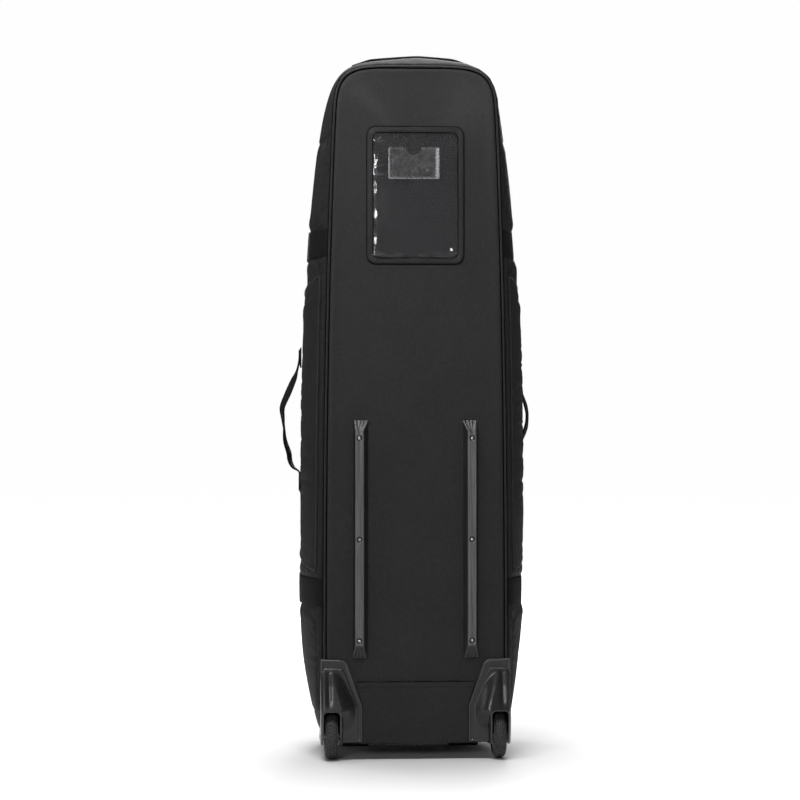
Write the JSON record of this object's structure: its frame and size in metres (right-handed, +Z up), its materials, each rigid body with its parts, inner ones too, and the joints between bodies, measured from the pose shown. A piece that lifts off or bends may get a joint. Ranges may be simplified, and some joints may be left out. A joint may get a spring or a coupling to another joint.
{
  "type": "golf travel case",
  "caption": "Tall soft-sided golf travel case standing on rear wheels and front feet, with a side-hinged front, skid rails, straps, handles and a clear label window.",
  "frame": {"origin": "on the floor, under the middle of the case's bounding box", "axes": "+Z up the case; the wheels and the label window face -Y; +X to the right of a person facing the wheel side"},
  "size_m": [0.4972, 0.3245, 1.3124],
  "materials": {
    "polyester": "matte",
    "side_polyester": "matte",
    "webbing": "matte",
    "binding": "satin",
    "clear_vinyl": "gloss",
    "frosted_vinyl": "satin",
    "rail_plastic": "satin",
    "housing_plastic": "satin",
    "buckle_plastic": "satin",
    "wheel_tread": "matte",
    "wheel_core": "satin",
    "steel": "satin",
    "board": "matte",
    "foot_rubber": "matte",
    "zip_tape": "matte",
    "zip_metal": "satin"
  },
  "bodies": {
    "case": {"back_panel": "polyester", "kick_panel": "polyester", "back_piping": "binding", "left_side_panel": "side_polyester", "right_side_panel": "side_polyester", "crown_panel": "polyester", "base_panel": "side_polyester", "back_board": "board", "base_board": "board", "window_binding": "binding", "window_film": "clear_vinyl", "card_sleeve": "frosted_vinyl", "left_rail": "rail_plastic", "right_rail": "rail_plastic", "rail_screws": "steel", "board_nuts": "steel", "left_wheel_housing": "housing_plastic", "right_wheel_housing": "housing_plastic", "housing_screws": "steel", "axles": "steel", "axle_spacers": "steel", "front_feet": "foot_rubber", "foot_screws": "steel", "upper_left_strap": "webbing", "upper_right_strap": "webbing", "lower_left_strap": "webbing", "lower_right_strap": "webbing", "buckle_sockets": "buckle_plastic", "left_side_pocket": "side_polyester", "right_side_pocket": "side_polyester", "pocket_zips": "zip_tape", "handle_patches": "webbing", "shell_zip_tape": "zip_tape", "shell_hinge_strip": "side_polyester"},
    "left_wheel": {"left_tyre": "wheel_tread", "left_wheel_core": "wheel_core", "left_bearings": "steel"},
    "right_wheel": {"right_tyre": "wheel_tread", "right_wheel_core": "wheel_core", "right_bearings": "steel"},
    "upper_left_clip": {"upper_left_clip": "buckle_plastic"},
    "upper_right_clip": {"upper_right_clip": "buckle_plastic"},
    "lower_left_clip": {"lower_left_clip": "buckle_plastic"},
    "lower_right_clip": {"lower_right_clip": "buckle_plastic"},
    "left_handle": {"left_handle": "webbing"},
    "right_handle": {"right_handle": "webbing"},
    "tow_handle": {"tow_handle": "webbing"},
    "lid": {"lid_panel": "polyester", "lid_side_skirts": "side_polyester", "lid_end_skirts": "side_polyester", "lid_piping": "binding", "lid_zip_tape": "zip_tape", "lid_hinge_strip": "side_polyester"},
    "upper_slider": {"upper_slider": "zip_metal"},
    "upper_puller": {"upper_puller": "zip_metal"},
    "lower_slider": {"lower_slider": "zip_metal"},
    "lower_puller": {"lower_puller": "zip_metal"},
    "left_pocket_slider": {"left_pocket_slider": "zip_metal"},
    "right_pocket_slider": {"right_pocket_slider": "zip_metal"}
  },
  "joints": [
    {"name": "left_wheel_spin", "type": "hinge", "parent": "case", "child": "left_wheel", "pos_m": [-0.1552, -0.118, 0.0445], "axis": [1, 0, 0], "continuous": true},
    {"name": "right_wheel_spin", "type": "hinge", "parent": "case", "child": "right_wheel", "pos_m": [0.1552, -0.118, 0.0445], "axis": [1, 0, 0], "continuous": true},
    {"name": "upper_left_clip_slide", "type": "slide", "parent": "case", "child": "upper_left_clip", "axis": [-0.3378, -0.9412, 0], "range_m": [0, 0.032]},
    {"name": "upper_right_clip_slide", "type": "slide", "parent": "case", "child": "upper_right_clip", "axis": [0.3378, -0.9412, 0], "range_m": [0, 0.032]},
    {"name": "lower_left_clip_slide", "type": "slide", "parent": "case", "child": "lower_left_clip", "axis": [-0.3668, -0.9303, 0], "range_m": [0, 0.032]},
    {"name": "lower_right_clip_slide", "type": "slide", "parent": "case", "child": "lower_right_clip", "axis": [0.3668, -0.9303, 0], "range_m": [0, 0.032]},
    {"name": "left_handle_swing", "type": "hinge", "parent": "case", "child": "left_handle", "pos_m": [-0.21748, 0.01231, 0.6245], "axis": [0, 0, 1], "range_deg": [-25, 25]},
    {"name": "right_handle_swing", "type": "hinge", "parent": "case", "child": "right_handle", "pos_m": [0.21748, 0.01231, 0.6245], "axis": [0, 0, 1], "range_deg": [-25, 25]},
    {"name": "tow_handle_lift", "type": "slide", "parent": "case", "child": "tow_handle", "axis": [0, 0, 1], "range_m": [0, 0.025]},
    {"name": "lid_hinge", "type": "hinge", "parent": "case", "child": "lid", "pos_m": [-0.16173, 0.11, 0.6], "axis": [0.0144, 0, 0.9999], "range_deg": [0, 110]},
    {"name": "upper_slider_slide", "type": "slide", "parent": "case", "child": "upper_slider", "axis": [-0.0144, 0, 0.9999], "range_m": [0, 0.38]},
    {"name": "upper_puller_swing", "type": "hinge", "parent": "upper_slider", "child": "upper_puller", "pos_m": [0.1658, 0.11, 0.72008], "axis": [0, -1, 0], "range_deg": [0, 165]},
    {"name": "lower_slider_slide", "type": "slide", "parent": "case", "child": "lower_slider", "axis": [0.0144, 0, -0.9999], "range_m": [0, 0.56]},
    {"name": "lower_puller_swing", "type": "hinge", "parent": "lower_slider", "child": "lower_puller", "pos_m": [0.1664, 0.11, 0.67808], "axis": [0, -1, 0], "range_deg": [0, 165]},
    {"name": "left_pocket_slider_slide", "type": "slide", "parent": "case", "child": "left_pocket_slider", "axis": [-0.0133, 0, -0.9999], "range_m": [0, 0.33]},
    {"name": "right_pocket_slider_slide", "type": "slide", "parent": "case", "child": "right_pocket_slider", "axis": [0.0133, 0, -0.9999], "range_m": [0, 0.33]}
  ]
}
